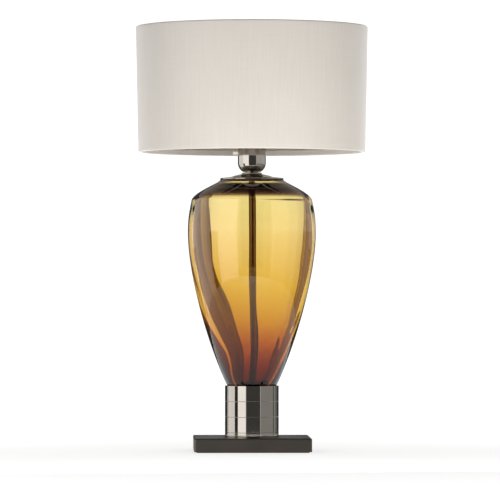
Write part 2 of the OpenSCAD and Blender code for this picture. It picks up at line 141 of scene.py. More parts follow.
sweep_half_width = 12
sweep_front = -9
sweep_back = 7
sweep_bend = 3
sweep_height = 9
bend_steps = 16
sweep_drop = 0.0003
sweep_line = [(sweep_front, -sweep_drop), (sweep_back - sweep_bend, -sweep_drop)]
for i in range(1, bend_steps + 1):
    angle = math.pi / 2 * i / bend_steps
    sweep_line.append((
        sweep_back - sweep_bend + sweep_bend * math.sin(angle),
        sweep_bend - sweep_bend * math.cos(angle) - sweep_drop))
sweep_line.append((sweep_back, sweep_height))
sweep = mesh_piece(
    "sweep",
    [(x, y, z) for y, z in sweep_line for x in (-sweep_half_width, sweep_half_width)],
    [(2 * i, 2 * i + 1, 2 * i + 3, 2 * i + 2) for i in range(len(sweep_line) - 1)],
    sweep_paper)

# ---- Studio ----
# Even daylight all round, three soft boxes, a dark board overhead, and upright cards. Most
# cards show only in reflections. The glass flags show only through the vase.

world = bpy.data.worlds.new("daylight")
world.use_nodes = True
bpy.context.scene.world = world
world.node_tree.nodes["Background"].inputs["Color"].default_value = (1, 1, 1, 1)
world.node_tree.nodes["Background"].inputs["Strength"].default_value = 1.0


def soft_box(name, place, target, size, power):
    """A rectangular area light at a place, facing a target, that no reflection shows."""
    lamp = bpy.data.lights.new(name, "AREA")
    lamp.shape = "RECTANGLE"
    lamp.size, lamp.size_y = size
    lamp.energy = power
    box = add_object(name, lamp)
    box.location = place
    direction = [t - p for t, p in zip(target, place)]
    across = math.atan2(direction[0], direction[1])
    level = math.hypot(direction[0], direction[1])
    box.rotation_euler = (math.pi / 2 + math.atan2(direction[2], level), 0, -across)
    box.visible_camera = False
    box.visible_glossy = False
    box.visible_transmission = False


soft_box("front_box", (0.1, -0.95, 0.12), (0, 0, 0.55), (0.9, 0.4), 7)
soft_box("left_rim_box", (-0.85, 1.0, 0.2), (0, 0, 0.6), (0.3, 0.4), 8)
soft_box("right_rim_box", (0.85, 1.0, 0.2), (0, 0, 0.6), (0.3, 0.4), 8)


def glow_material(name, brightness, tone):
    """A card's face, which gives off an even light."""
    material, card_tree = new_material(name)
    glow = add_node(card_tree, "ShaderNodeEmission", inputs={
        "Color": linear(tone), "Strength": brightness})
    finish_material(card_tree, glow)
    return material


def card(name, from_degrees, to_degrees, brightness, through_glass=False,
         bottom=0.0, top=1.7, radius=0.9, table_radius=None, tone="ffffff"):
    """An upright curved card round the lamp, seen in reflections or else through the glass.

    The angles run from the camera's side, positive to the right. A table radius adds a
    part that lies on the table, from that radius out to the card's foot.
    """
    rows = [(radius, bottom), (radius, top)]
    if table_radius:
        rows.insert(0, (table_radius, bottom))
    steps = max(2, round((to_degrees - from_degrees) / 3))
    points = []
    for i in range(steps + 1):
        angle = math.radians(from_degrees + (to_degrees - from_degrees) * i / steps)
        points += [(r * math.sin(angle), -r * math.cos(angle), z) for r, z in rows]
    count = len(rows)
    piece = mesh_piece(
        name, points,
        [(count * i + j, count * (i + 1) + j, count * (i + 1) + j + 1, count * i + j + 1)
         for i in range(steps) for j in range(count - 1)],
        glow_material(name, brightness, tone))
    piece.visible_camera = False
    piece.visible_diffuse = False
    piece.visible_shadow = False
    piece.visible_glossy = not through_glass
    piece.visible_transmission = through_glass


# Each row gives the card's first and last angle, then its brightness
low_top = 0.4
card("front_black_card", -25, 34, 0.1)
card("left_white_card", -62, -27, 2.3)
card("left_gap_card", -78, -62, 0.06, top=low_top)
card("left_high_card", -78, -62, 2.3, bottom=low_top)
card("left_grey_card", -130, -78, 1.7)
card("left_edge_card", -172, -130, 0.1)
card("right_grey_card", 36, 100, 0.5, top=low_top)
card("right_line_card", 100, 106, 0.15, top=low_top)
card("right_back_card", 106, 135, 0.5, top=low_top)
card("right_high_card", 36, 135, 0.85, bottom=low_top)
card("right_edge_card", 135, 172, 0.1)
card("back_low_flag", 118, 242, 0.02, top=0.3)
card("front_glass_flag", -25, 34, 0.03, through_glass=True)
brown_board = {"bottom": 0.001, "table_radius": 0.12, "tone": "e0b48a"}
card("left_glass_flag", -160, -95, 0.26, through_glass=True, **brown_board)
card("right_glass_flag", 95, 153, 0.36, through_glass=True, **brown_board)
card("high_glass_flag", -180, 180, 0.03, through_glass=True, bottom=0.66, top=1.02)
# The board lies level over the lamp and keeps the daylight off its top
board_half = 1.1
board_height = 1.02
ceiling_flag = mesh_piece(
    "ceiling_flag",
    [(x * board_half, y * board_half, board_height)
     for x, y in ((-1, -1), (1, -1), (1, 1), (-1, 1))],
    [(0, 1, 2, 3)], glow_material("ceiling_flag", 0.02, "ffffff"))
ceiling_flag.visible_camera = False

# ---- Felt pad ----
# A square of dark wool felt, die cut and glued under the plate so that the lamp doesn't
# scratch the table. It is pressed from short fibres, so it is matt and a little uneven.


def rounded_square(half, corner, steps=8):
    """Points round a square with round corners, anticlockwise from the right side."""
    flat = half - corner
    points = []
    for turn, (x, y) in enumerate(((1, 1), (-1, 1), (-1, -1), (1, -1))):
        for i in range(steps + 1):
            angle = math.pi / 2 * (turn + i / steps)
            points.append((
                x * flat + corner * math.cos(angle), y * flat + corner * math.sin(angle)))
    return points


def stacked_rings(name, rings, material):
    """A closed piece skinned over rings of points that have equal counts."""
    count = len(rings[0])
    faces = [tuple(reversed(range(count)))]
    for level in range(len(rings) - 1):
        for i in range(count):
            after = (i + 1) % count
            faces.append((
                level * count + i, level * count + after,
                (level + 1) * count + after, (level + 1) * count + i))
    faces.append(tuple((len(rings) - 1) * count + i for i in range(count)))
    return mesh_piece(name, [point for ring in rings for point in ring], faces, material)


def keep_sharp(piece, degrees):
    """Keeps the edges of a smooth piece sharp where they turn by more than an angle."""
    piece.data.set_sharp_from_angle(angle=math.radians(degrees))


def two_tones(tree, grain_mm, light_hex, dark_hex, detail=2):
    """Noise of one grain size and the colour it mixes. Returns place, noise and colour."""
    place = add_node(tree, "ShaderNodeTexCoord").outputs["Object"]
    noise = add_node(tree, "ShaderNodeTexNoise", inputs={
        "Vector": place, "Scale": 1 / (grain_mm * mm), "Detail": detail})
    colour = add_node(tree, "ShaderNodeMix", {"data_type": "RGBA"}, {
        "Factor": noise.outputs["Fac"], 6: linear(light_hex), 7: linear(dark_hex)})
    return place, noise, colour.outputs[2]


def cloth_like(name, light_hex, dark_hex, fibre_mm, roughness, sheen):
    """Matt fibres: two near colours mixed by a fine tangle, with a soft sheen."""
    material, tree = new_material(name)
    tangle, colour = two_tones(tree, fibre_mm, light_hex, dark_hex, detail=4)[1:]
    tangle.inputs["Roughness"].default_value = 0.65
    bump = add_node(tree, "ShaderNodeBump", inputs={
        "Height": tangle.outputs["Fac"], "Strength": 0.5, "Distance": 0.3 * mm})
    shader = add_node(tree, "ShaderNodeBsdfPrincipled", inputs={
        "Base Color": colour, "Roughness": roughness, "Sheen Weight": sheen,
        "Specular IOR Level": 0.2, "Normal": bump.outputs["Normal"]})
    finish_material(tree, shader)
    return material


# Pressed wool felt: no gloss at all, and a coarse tangle of light and dark fibres.
wool_felt = cloth_like("pressed_wool_felt", "57534c", "23211e", 0.8, 0.95, 0.5)

felt_low, felt_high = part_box("felt_pad")
felt_corner = 6 * mm
felt_edge = 0.4 * mm
felt_rings = []
for inset, z in (
        (felt_edge, felt_low.z), (0, felt_low.z + felt_edge), (0, felt_high.z - felt_edge),
        (felt_edge, felt_high.z)):
    felt_rings.append([
        (x, y, z) for x, y in rounded_square(felt_high.x - inset, felt_corner - inset)])
felt = stacked_rings("felt_square", felt_rings, wool_felt)
keep_sharp(felt, 35)
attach(felt, "stand")
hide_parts("felt_pad")

# ---- Plinth plate ----
# A square block of mild steel, milled flat, bevelled round its top edge and finished in
# dark bronze plate with a satin face. The cord bore runs out through its back.


def softened_copy(node, name, edge, material, sharp_degrees=25):
    """A copy of a CAD node whose corners are broken by a small round edge."""
    mesh = nodes[node].data.copy()
    mesh.name = name
    work = bmesh.new()
    work.from_mesh(mesh)
    weld_distance = 0.001 * mm
    bmesh.ops.remove_doubles(work, verts=work.verts, dist=weld_distance)
    bmesh.ops.dissolve_limit(
        work, angle_limit=math.radians(1), verts=work.verts, edges=work.edges)
    corners = [
        e for e in work.edges
        if len(e.link_faces) == 2 and e.calc_face_angle(0) > math.radians(sharp_degrees)]
    bmesh.ops.bevel(
        work, geom=corners, offset=edge, offset_type="OFFSET", segments=2, profile=0.5,
        affect="EDGES", clamp_overlap=True, harden_normals=False)
    bmesh.ops.triangulate(work, faces=[f for f in work.faces if len(f.verts) > 4])
    work.to_mesh(mesh)
    work.free()
    mesh.materials.clear()
    mesh.materials.append(material)
    mesh.shade_smooth()
    piece = add_object(name, mesh)
    weights = piece.modifiers.new("face_weights", "WEIGHTED_NORMAL")
    weights.keep_sharp = False
    return piece


def worn_shader(tree, colour, tone, grain, roughness, drift, bump, more):
    """Ends a material: its gloss drifts with its tone, and its face has a fine grain."""
    gloss = add_node(tree, "ShaderNodeMapRange", inputs={
        "Value": tone.outputs["Fac"], "To Min": (1 - drift) * roughness,
        "To Max": (1 + drift) * roughness})
    relief = add_node(tree, "ShaderNodeBump", inputs={
        "Height": grain.outputs["Fac"], "Strength": bump, "Distance": 0.05 * mm})
    shader = add_node(tree, "ShaderNodeBsdfPrincipled", inputs={
        "Base Color": colour, "Roughness": gloss.outputs["Result"],
        "Normal": relief.outputs["Normal"], **more})
    finish_material(tree, shader)


def metal_finish(name, light_hex, dark_hex, roughness, patch_mm=30, line_mm=None, bump=0.03):
    """A metal whose tone and gloss drift a little, with turning lines where it has them."""
    material, tree = new_material(name)
    place, patches, colour = two_tones(tree, patch_mm, light_hex, dark_hex, detail=3)
    # Lines run round the piece: fine in height and long in every level direction
    line_length = 40 if line_mm else 1
    stretched = add_node(tree, "ShaderNodeMapping", inputs={
        "Vector": place, "Scale": (1, 1, line_length)})
    grain_mm = 0.4
    grain = add_node(tree, "ShaderNodeTexNoise", inputs={
        "Vector": stretched.outputs["Vector"], "Detail": 2,
        "Scale": 1 / ((line_mm or grain_mm) * line_length * mm)})
    worn_shader(tree, colour, patches, grain, roughness, 0.3, bump, {"Metallic": 1})
    return material


# Satin bronze plate on milled steel: dark, soft reflections and a very fine grain.
bronze_plate = metal_finish("satin_bronze_plate", "5e5852", "4e4a45", 0.36, patch_mm=60, bump=0.08)

plate_edge = 0.35 * mm
plate = softened_copy("base_plate", "plinth_plate", plate_edge, bronze_plate)
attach(plate, "stand")
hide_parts("base_plate")

# ---- Bushes, washer and nut under the plate ----
# Moulded bushes guard the cord at the plate's back and at the tube's end. A zinc plated
# washer and nut on the threaded tube pull the whole lamp together from below.


def plastic_finish(name, hex_colour, deep_hex, roughness, grain_mm=0.6, soft=0.0):
    """A moulded plastic: nearly one colour, with the fine grain of its mould."""
    material, tree = new_material(name)
    grain, colour = two_tones(tree, grain_mm, hex_colour, deep_hex)[1:]
    worn_shader(tree, colour, grain, grain, roughness, 0.2, 0.1, {
        "Subsurface Weight": soft, "Subsurface Scale": 1 * mm})
    return material


def repaint(node, material):
    """Gives a CAD node that is shown as it is its finish."""
    nodes[node].data.materials.clear()
    nodes[node].data.materials.append(material)


# Black rubber: dull, with a faint bloom. White nylon: waxy, and lets a little light in.
black_rubber = plastic_finish("black_rubber", "242322", "191817", 0.6)
white_nylon = plastic_finish("white_nylon", "ebe8df", "e2ded2", 0.4, soft=0.1)
# Zinc plate: pale, slightly cloudy metal with a mottled gloss.
zinc_plate = metal_finish("zinc_plate", "c9cac8", "a9abab", 0.28, patch_mm=4)

repaint("inlet_bush", black_rubber)
repaint("tube_bush", white_nylon)
repaint("tie_washer", zinc_plate)
nut_edge = 0.3 * mm
tie_nut = softened_copy("tie_nut", "foot_nut", nut_edge, zinc_plate)
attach(tie_nut, "stand")
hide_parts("tie_nut")

# ---- Collar rings ----
# Four rings turned from brass bar, each with an upstand that enters the next one, broken
# at their edges so that a fine groove shows at every joint, polished and black nickelled.


def node_group(name, sockets):
    """A geometry node group with the given inputs, and its inputs' sockets."""
    tree = bpy.data.node_groups.new(name, "GeometryNodeTree")
    for socket, kind in sockets:
        tree.interface.new_socket(socket, in_out="INPUT", socket_type="NodeSocket" + kind)
    tree.interface.new_socket("Piece", in_out="OUTPUT", socket_type="NodeSocketGeometry")
    return tree, add_node(tree, "NodeGroupInput").outputs


def hand_out(tree, shape, material):
    """Ends a node group: the shape is shaded smooth and gets its material."""
    smooth = add_node(tree, "GeometryNodeSetShadeSmooth", inputs={"Geometry": shape})
    painted = add_node(tree, "GeometryNodeSetMaterial", inputs={
        "Geometry": smooth.outputs[0], "Material": material})
    add_node(tree, "NodeGroupOutput", inputs={"Piece": painted.outputs[0]})


def lathe_tree():
    """Nodes that sweep an outline of points (radius, 0, height) round the upright axis.

    The outline's attribute "weight" says where threads, ribs, ripples and the shift act.
    """
    tree, given = node_group("lathe", (
        ("Outline", "Geometry"), ("Around", "Int"), ("Points", "Int"),
        ("Thread depth", "Float"), ("Thread pitch", "Float"), ("Rib depth", "Float"),
        ("Rib count", "Int"), ("Ripple depth", "Float"), ("Ripple size", "Float"),
        ("Seed", "Float"), ("Shift", "Float"), ("Material", "Material")))

    def maths(operation, *values):
        return add_node(
            tree, "ShaderNodeMath", {"operation": operation}, dict(enumerate(values))).outputs[0]

    def times(first, second):
        return maths("MULTIPLY", first, second)

    rows = maths("ADD", given["Around"], 1)
    grid = add_node(tree, "GeometryNodeMeshGrid", inputs={
        "Vertices X": rows, "Vertices Y": given["Points"]})
    index = add_node(tree, "GeometryNodeInputIndex").outputs[0]
    along = maths("MODULO", index, given["Points"])
    row = maths("FLOOR", maths("DIVIDE", maths("ADD", index, 0.5), given["Points"]))
    turn = times(maths("DIVIDE", row, given["Around"]), 2 * math.pi)
    place = add_node(tree, "GeometryNodeInputPosition").outputs[0]
    outline_place = add_node(
        tree, "GeometryNodeSampleIndex", {"data_type": "FLOAT_VECTOR"},
        {"Geometry": given["Outline"], "Value": place, "Index": along}).outputs[0]
    weight = add_node(
        tree, "GeometryNodeInputNamedAttribute", {"data_type": "FLOAT"}, {"Name": "weight"})
    act = add_node(
        tree, "GeometryNodeSampleIndex", {"data_type": "FLOAT"},
        {"Geometry": given["Outline"], "Value": weight.outputs[0], "Index": along}).outputs[0]
    parts = add_node(tree, "ShaderNodeSeparateXYZ", inputs={"Vector": outline_place}).outputs
    level_x = maths("COSINE", turn)
    level_y = maths("SINE", turn)

    climb = maths("DIVIDE", parts["Z"], given["Thread pitch"])
    thread = times(given["Thread depth"], maths("COSINE", maths(
        "SUBTRACT", times(climb, 2 * math.pi), turn)))
    # Ripples are drawn out upwards, and they make the ribs waver
    ripple_squeeze = 0.45
    rib_waver = 9
    spot = add_node(tree, "ShaderNodeCombineXYZ", inputs={
        "X": times(parts["X"], level_x), "Y": times(parts["X"], level_y),
        "Z": times(parts["Z"], ripple_squeeze)})
    ripple = add_node(tree, "ShaderNodeTexNoise", {"noise_dimensions": "4D"}, {
        "Vector": spot.outputs[0], "W": given["Seed"], "Detail": 1,
        "Scale": maths("DIVIDE", 1, given["Ripple size"])})
    uneven = maths("SUBTRACT", ripple.outputs[0], 0.5)
    rib_turn = maths("ADD", times(turn, given["Rib count"]), times(uneven, rib_waver))
    rib = times(given["Rib depth"], maths("COSINE", rib_turn))
    change = maths("ADD", maths("ADD", thread, rib), times(uneven, given["Ripple depth"]))
    radius = maths("ADD", parts["X"], times(change, act))
    swept = add_node(tree, "ShaderNodeCombineXYZ", inputs={
        "X": maths("ADD", times(radius, level_x), times(given["Shift"], act)),
        "Y": times(radius, level_y), "Z": parts["Z"]})
    shaped = add_node(tree, "GeometryNodeSetPosition", inputs={
        "Geometry": grid.outputs["Mesh"], "Position": swept.outputs[0]})
    weld_distance = 0.002 * mm
    closed = add_node(tree, "GeometryNodeMergeByDistance", inputs={
        "Geometry": shaped.outputs[0], "Distance": weld_distance})
    hand_out(tree, closed.outputs[0], given["Material"])
    return tree


def made_by_nodes(piece, tree, **settings):
    """Runs a geometry tree on a piece with its named inputs, and keeps the plain mesh."""
    modifier = piece.modifiers.new(tree.name, "NODES")
    modifier.node_group = tree
    for socket in tree.interface.items_tree:
        if socket.in_out == "INPUT" and socket.name in settings:
            modifier[socket.identifier] = settings[socket.name]
    shaped = piece.evaluated_get(bpy.context.evaluated_depsgraph_get())
    mesh = bpy.data.meshes.new_from_object(shaped)
    piece.modifiers.remove(modifier)
    piece.data = mesh
    mesh.name = piece.name
    return piece


def turned(name, outline, material, around=128, weights=None, **shape):
    """A turned piece from its closed outline in millimetres, up the outside and down inside."""
    closed = outline + outline[:1]
    mesh = bpy.data.meshes.new(name)
    mesh.from_pydata(
        [(r * mm, 0, z * mm) for r, z in closed],
        [(i, i + 1) for i in range(len(closed) - 1)], [])
    weight = mesh.attributes.new("weight", "FLOAT", "POINT")
    if weights:
        weight.data.foreach_set("value", weights + weights[:1])
    piece = add_object(name, mesh)
    named = {key.capitalize().replace("_", " "): value for key, value in shape.items()}
    settings = {
        "Around": around, "Points": len(closed), "Thread pitch": 1.0, "Ripple size": 1.0,
        "Material": material, **named}
    return made_by_nodes(piece, lathe, **settings)


def towards(point, other, distance):
    """A point moved towards another by a distance."""
    share = distance / math.dist(point, other)
    return tuple(p + (o - p) * share for p, o in zip(point, other))


def bend(before, corner, after, reach, steps):
    """Points on a smooth bend, which starts and ends at a distance from its corner."""
    start, end = towards(corner, before, reach), towards(corner, after, reach)
    points = []
    for k in range(steps + 1):
        t = k / steps
        points.append(tuple(
            (1 - t) ** 2 * s + 2 * t * (1 - t) * c + t * t * e
            for s, c, e in zip(start, corner, end)))
    return points


def eased(corners, radius=0.3, steps=3):
    """An outline with rounded corners, and one more point on each side of each corner."""
    most_of_side = 0.4
    edge_margin = 1.15
    points = []
    for i, corner in enumerate(corners):
        before, after = corners[i - 1], corners[(i + 1) % len(corners)]
        shorter = min(math.dist(before, corner), math.dist(corner, after))
        reach = min(radius, most_of_side * shorter)
        points.append(towards(corner, before, edge_margin * reach))
        points += bend(before, corner, after, reach, steps)
        points.append(towards(corner, after, edge_margin * reach))
    return points


lathe = lathe_tree()

# Black nickel over polished brass: a dark mirror with a warm grey cast and only the
# faintest lines from the polishing wheel.
black_nickel = metal_finish(
    "polished_black_nickel", "a59f99", "999389", 0.045, patch_mm=40, line_mm=0.5, bump=0.012)

ring_bore_r = 38
upstand_r = 42
upstand_h = 2
socket_gap = 0.1
ring_edge = 0.5
recess_r = 44.5
ring_names = (
    "collar_foot_ring", "collar_lower_ring", "collar_middle_ring", "collar_upper_ring")
for name in ring_names:
    low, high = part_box(name)
    ring_r = high.x / mm
    bottom = low.z / mm
    has_socket = name != "collar_foot_ring"
    has_upstand = name != "collar_upper_ring"
    top = high.z / mm - (upstand_h if has_upstand else 0)
    if has_upstand:
        inside = [
            (upstand_r, top), (upstand_r, top + upstand_h), (ring_bore_r, top + upstand_h)]
    else:
        seat_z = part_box("vase_seat")[0].z / mm
        inside = [(recess_r, top), (recess_r, seat_z), (ring_bore_r, seat_z)]
    if has_socket:
        inside += [
            (ring_bore_r, bottom + upstand_h + socket_gap),
            (upstand_r + socket_gap, bottom + upstand_h + socket_gap),
            (upstand_r + socket_gap, bottom)]
    else:
        inside += [(ring_bore_r, bottom)]
    outline = eased([(ring_r, bottom), (ring_r, top)] + inside, ring_edge)
    ring = turned(name.replace("collar", "nickel"), outline, black_nickel, around=160)
    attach(ring, "stand")
    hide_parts(name)

# ---- Seat and gaskets of the vase ----
# A pressed steel disc in the collar carries the vase. Thin rubber rings keep glass and
# metal apart, one under its foot and one round its mouth.

# Satin steel, zinc plated: a plain grey disc with pressing marks.
seat_steel = metal_finish("pressed_seat_steel", "8f8c85", "75726c", 0.32, patch_mm=12)
repaint("vase_seat", seat_steel)
repaint("seat_gasket", black_rubber)
repaint("cap_gasket", black_rubber)

# ---- Vase ----
# Thick amber glass blown into a mould and worked by hand: a round shoulder, a long taper
# and a heavy foot. The wall is uneven inside, thicker at one side, with faint optic ribs.


def curve(p, steps):
    """Points along a cubic curve from the first point to the last."""
    points = []
    for i in range(steps + 1):
        t = i / steps
        pulls = ((1 - t) ** 3, 3 * t * (1 - t) ** 2, 3 * t * t * (1 - t), t ** 3)
        points.append(tuple(sum(k * q[axis] for k, q in zip(pulls, p)) for axis in (0, 1)))
    return points


def arc(centre_r, centre_z, radius, angles):
    """Points of an outline on a circle, at the given angles in degrees."""
    turns = [math.radians(angle) for angle in angles]
    return [(centre_r + radius * math.cos(a), centre_z + radius * math.sin(a)) for a in turns]


vase_low, vase_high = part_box("vase")
foot_z = vase_low.z / mm
mouth_z = vase_high.z / mm
belly_r = vase_high.x / mm
foot_r = 39
mouth_r = 56
mouth_bore_r = 52
tie_hole_r = 7
belly_z = foot_z + 0.748 * (mouth_z - foot_z)
shoulder_r = 105.7
shoulder_z = foot_z + 0.9035 * (mouth_z - foot_z)
lean = 0.18
outer_wall = (
    curve([(foot_r, foot_z), (foot_r + 41, foot_z + 83), (belly_r, belly_z - 67),
           (belly_r, belly_z)], 48)
    + curve([(belly_r, belly_z), (belly_r, belly_z + 30),
             (shoulder_r + 20 * lean, shoulder_z - 20), (shoulder_r, shoulder_z)], 16)[1:]
    + curve([(shoulder_r, shoulder_z), (shoulder_r - 13.7 * lean, shoulder_z + 13.7),
             (mouth_r + 5, mouth_z - 5.5), (mouth_r, mouth_z)], 24)[1:])
# The hollow inside, from the mouth down: a sloped ceiling, the wide part, a waist and a toe
cavity_r = 92
cavity_z = 372
ceiling_z = 453
cavity_waist = (62, 240)
cavity_toe = (29, 150)
cavity_floor = 113
inner_wall = (
    curve([(mouth_bore_r, ceiling_z + 14), (mouth_bore_r, ceiling_z + 8),
           (mouth_bore_r + 4, ceiling_z + 7), (mouth_bore_r + 10, ceiling_z + 5)], 8)
    + curve([(mouth_bore_r + 10, ceiling_z + 5), (mouth_bore_r + 36, ceiling_z - 3),
             (cavity_r, ceiling_z - 4), (cavity_r, cavity_z + 40)], 24)[1:]
    + curve([(cavity_r, cavity_z + 40), (cavity_r, cavity_z - 50),
             (cavity_waist[0] + 12, cavity_waist[1] + 36), cavity_waist], 48)[1:]
    + curve([cavity_waist, (cavity_waist[0] - 12, cavity_waist[1] - 36),
             (cavity_toe[0] + 5, cavity_toe[1] + 30), cavity_toe], 24)[1:]
    + curve([cavity_toe, (cavity_toe[0] - 5, cavity_toe[1] - 26),
             (tie_hole_r + 10, cavity_floor + 1), (tie_hole_r + 1, cavity_floor)], 8)[1:])
lip = [(mouth_r - 0.8, mouth_z), (mouth_bore_r + 0.8, mouth_z), (mouth_bore_r, mouth_z - 0.8)]
underside = [
    (tie_hole_r, cavity_floor - 1), (tie_hole_r, foot_z + 0.6), (tie_hole_r + 0.6, foot_z),
    (foot_r - 1.5, foot_z), (foot_r - 0.4, foot_z + 0.3)]
vase_outline = outer_wall[1:] + lip + inner_wall + underside
# Only the inner wall is uneven: little at the shoulder, fully below it, not at its two ends
calm_share = 0.35
calm_z = 330
calm_h = 110
top_fade_z = ceiling_z - 4
top_fade_h = 40
foot_fade_z = cavity_floor + 8
foot_fade_h = 60
vase_weights = [0.0] * (len(outer_wall) - 1 + len(lip))
for r, z in inner_wall:
    lower = calm_share + (1 - calm_share) * max(0.0, min(1.0, (calm_z - z) / calm_h))
    near_ends = min((top_fade_z - z) / top_fade_h, (z - foot_fade_z) / foot_fade_h)
    vase_weights.append(max(0.0, min(lower, near_ends)))
vase_weights += [0.0] * len(underside)

# Amber glass: clear yellow above and red-brown in the heavy foot. A tint on its face goes by
# height, and the glass itself absorbs too. The tint's narrow dark band round the shoulder is
# painted shade, which stands for the dark surroundings that the shoulder reflects.
amber_glass, tree = new_material("blown_amber_glass")
place = add_node(tree, "ShaderNodeTexCoord")
parts = add_node(tree, "ShaderNodeSeparateXYZ", inputs={"Vector": place.outputs["Object"]})
height = add_node(tree, "ShaderNodeMapRange", inputs={
    "Value": parts.outputs["Z"], "From Min": vase_low.z, "From Max": vase_high.z})
tint = add_node(tree, "ShaderNodeValToRGB", inputs={"Fac": height.outputs["Result"]})
# The two dark stops near the top are painted shade: a band round the shoulder, not a colour of the
# glass.
tint_and_shade_stops = (
    (0, "7c3c19"), (0.12, "a65b27"), (0.226, "d7a045"), (0.297, "e5c059"), (0.39, "edd36f"),
    (0.487, "f3e087"), (0.58, "f6e6a6"), (0.77, "fbf4c9"), (0.86, "f8f4c9"), (0.914, "f9f3c9"),
    (0.925, "3c2929"), (0.966, "4b3530"), (0.98, "f9f3c9"), (1, "faf5d2"))
stops = tint.color_ramp.elements
while len(stops) < len(tint_and_shade_stops):
    stops.new(0.5)
for stop, (share, hex_colour) in zip(stops, tint_and_shade_stops):
    stop.position = share
    stop.color = linear(hex_colour)
shader = add_node(tree, "ShaderNodeBsdfPrincipled", inputs={
    "Base Color": tint.outputs["Color"], "Roughness": 0.0, "IOR": 1.5,
    "Transmission Weight": 1})
absorb = add_node(tree, "ShaderNodeVolumeAbsorption", inputs={
    "Color": linear("f3d9a0"), "Density": 20})
finish_material(tree, shader, absorb)

vase = turned(
    "blown_vase", vase_outline, amber_glass, around=192, weights=vase_weights,
    rib_depth=0.25 * mm, rib_count=14, ripple_depth=5 * mm, ripple_size=90 * mm, seed=3.0,
    shift=7 * mm)
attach(vase, "stand")
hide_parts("vase")

# ---- Rod sleeve and tie tube ----
# A bronzed brass sleeve covers the threaded steel tube that runs up through the vase and
# clamps everything between the foot nut and the cup nut.

bronze_tube = metal_finish("bronzed_tube", "8c6c44", "684c2c", 0.16, patch_mm=50, line_mm=0.6)
repaint("rod_sleeve", bronze_tube)
tube_steel = metal_finish("threaded_tube_steel", "b5b0a6", "918c82", 0.3, patch_mm=8)
repaint("tie_tube", tube_steel)

# ---- Top cap, neck bead and spacer ----
# A spun brass dome closes the vase's mouth. A turned bead and a thin spacer stand on it
# and carry the cup. All three are black nickelled like the collar.

cap_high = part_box("top_cap")[1]
cap_z = mouth_z + 0.5
cap_r = cap_high.x / mm
cap_rim_t = 3.6
tube_hole_r = 5.15
spigot_r = mouth_bore_r - 0.5
spigot_h = 8
crest_r = 19
crest_z = cap_high.z / mm
bead_low, bead_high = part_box("neck_bead")
bead_z = bead_low.z / mm
bead_r = bead_high.x / mm
half_rim = cap_rim_t / 2
rim_round = arc(cap_r - half_rim, cap_z + half_rim, half_rim, range(-90, 61, 15))
dome = curve([
    (cap_r - half_rim, cap_z + cap_rim_t), (40, cap_z + cap_rim_t + 1.6),
    (30, cap_z + cap_rim_t + 5), (crest_r, crest_z)], 24)
cap_outline = (
    [(spigot_r - 3, cap_z), (spigot_r - 3, cap_z - spigot_h), (spigot_r, cap_z - spigot_h),
     (spigot_r, cap_z)]
    + rim_round + dome
    + [(bead_r + 0.3, crest_z), (bead_r + 0.3, bead_z), (tube_hole_r, bead_z),
       (tube_hole_r, cap_z)])
cap = turned("spun_cap", cap_outline, black_nickel, around=160)
keep_sharp(cap, 40)
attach(cap, "stand")
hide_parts("top_cap")

bead_h = (bead_high.z - bead_low.z) / mm
bead_round = arc(bead_r - bead_h / 2, bead_z + bead_h / 2, bead_h / 2, range(-90, 91, 10))
bead = turned(
    "nickel_bead", bead_round + [(tube_hole_r, bead_z + bead_h), (tube_hole_r, bead_z)],
    black_nickel)
keep_sharp(bead, 50)
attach(bead, "stand")
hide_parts("neck_bead")
repaint("neck_spacer", black_nickel)

# ---- Cup and cup nut ----
# A drawn brass cup, black nickelled, hides the lampholder. The push rod passes through two
# holes in its side, and the nut on the tube holds it down from inside.

for node, name, edge, finish, slot in (
        ("holder_cup", "drawn_cup", 0.15 * mm, black_nickel, "black_nickel"),
        ("cup_nut", "inner_nut", nut_edge, zinc_plate, "zinc_steel")):
    piece = softened_copy(node, name, edge, finish)
    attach(piece, "stand")
    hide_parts(node)

# ---- Lampholder ----
# A moulded black holder carries a porcelain block with brass contacts, a brass screw shell
# pressed from strip, and a skirt whose flange the shade hangs on.

black_phenolic = plastic_finish("black_phenolic", "26231f", "1c1a17", 0.3)
# Glazed porcelain: off-white with a clear gloss over it.
porcelain = plastic_finish("glazed_porcelain", "ece7dc", "e2dccf", 0.12, soft=0.1)
# Drawn brass: yellow, with a dull film in patches.
contact_brass = metal_finish("drawn_brass", "d2aa55", "b08a3e", 0.26, patch_mm=5)

repaint("holder_base", black_phenolic)
repaint("contact_block", porcelain)
for node in ("terminal_screws", "centre_contact", "switch_contacts"):
    repaint(node, contact_brass)

thread_pitch = 3.62
rise_step = 0.4
shell_low, shell_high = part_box("screw_shell")
shell_bore = 13.3
shell_t = 0.5
shell_depth = 0.35
shell_mouth = shell_high.z / mm
shell_foot = shell_low.z / mm
rise_count = int((shell_mouth - shell_foot - 3) / rise_step)
shell_rise = [shell_foot + 2 + rise_step * i for i in range(rise_count)]
shell_mid = shell_bore + shell_depth + 0.05
shell_outline = (
    [(shell_mid + shell_t, z) for z in shell_rise]
    + [(shell_mid + shell_t + 0.3, shell_mouth), (shell_mid + 0.3, shell_mouth)]
    + [(shell_mid, z) for z in reversed(shell_rise)]
    + [(9.5, shell_foot + shell_t), (9.5, shell_foot), (shell_mid + shell_t, shell_foot)])
threaded = [1.0] * len(shell_rise)
shell = turned(
    "rolled_screw_shell", shell_outline, contact_brass, around=72,
    weights=threaded + [0.0, 0.0] + threaded + [0.0, 0.0, 0.0],
    thread_depth=shell_depth * mm, thread_pitch=thread_pitch * mm)
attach(shell, "stand")
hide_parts("screw_shell")

skirt = softened_copy("holder_skirt", "moulded_skirt", 0.25 * mm, black_phenolic)
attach(skirt, "stand")
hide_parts("holder_skirt")

# ---- Push rod and bridge ----
# A cream urea rod slides through the cup. The brass bridge on it joins the two contact
# leaves when the rod is pushed across.

